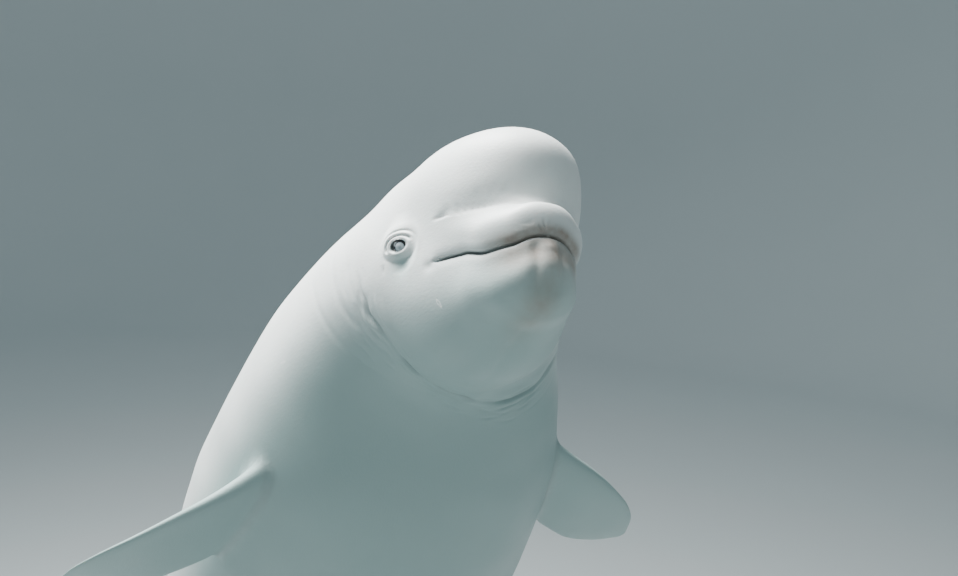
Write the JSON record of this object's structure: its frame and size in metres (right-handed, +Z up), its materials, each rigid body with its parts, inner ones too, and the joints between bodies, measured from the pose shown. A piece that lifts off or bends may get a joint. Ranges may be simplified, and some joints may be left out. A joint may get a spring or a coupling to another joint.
{
  "type": "beluga whale model",
  "caption": "Still life-size adult white whale with rounded melon, broad lips, paddle flippers and tail flukes, rising in a swimming pose on a flat base with two rods.",
  "frame": {"origin": "centre of the underside of the stand's base, where it rests on the floor", "axes": "+Z up, +X the way the whale heads, +Y its left side"},
  "size_m": [2.8422, 1.5231, 3.4903],
  "materials": {
    "skin": "smooth off-white skin, slightly damp sheen",
    "eye": "dark glossy eye",
    "stand": "dark grey satin powder coat"
  },
  "bodies": {
    "root": {"head": "skin", "lower_jaw": "skin", "neck": "skin", "chest": "skin", "abdomen": "skin", "tail_stock": "skin", "fluke_left": "skin", "fluke_right": "skin", "flipper_left": "skin", "flipper_right": "skin", "eye_left": "eye", "eye_right": "eye", "stand_base": "stand", "stand_flange_front": "stand", "stand_flange_rear": "stand", "stand_rod_front": "stand", "stand_rod_rear": "stand"}
  },
  "joints": []
}
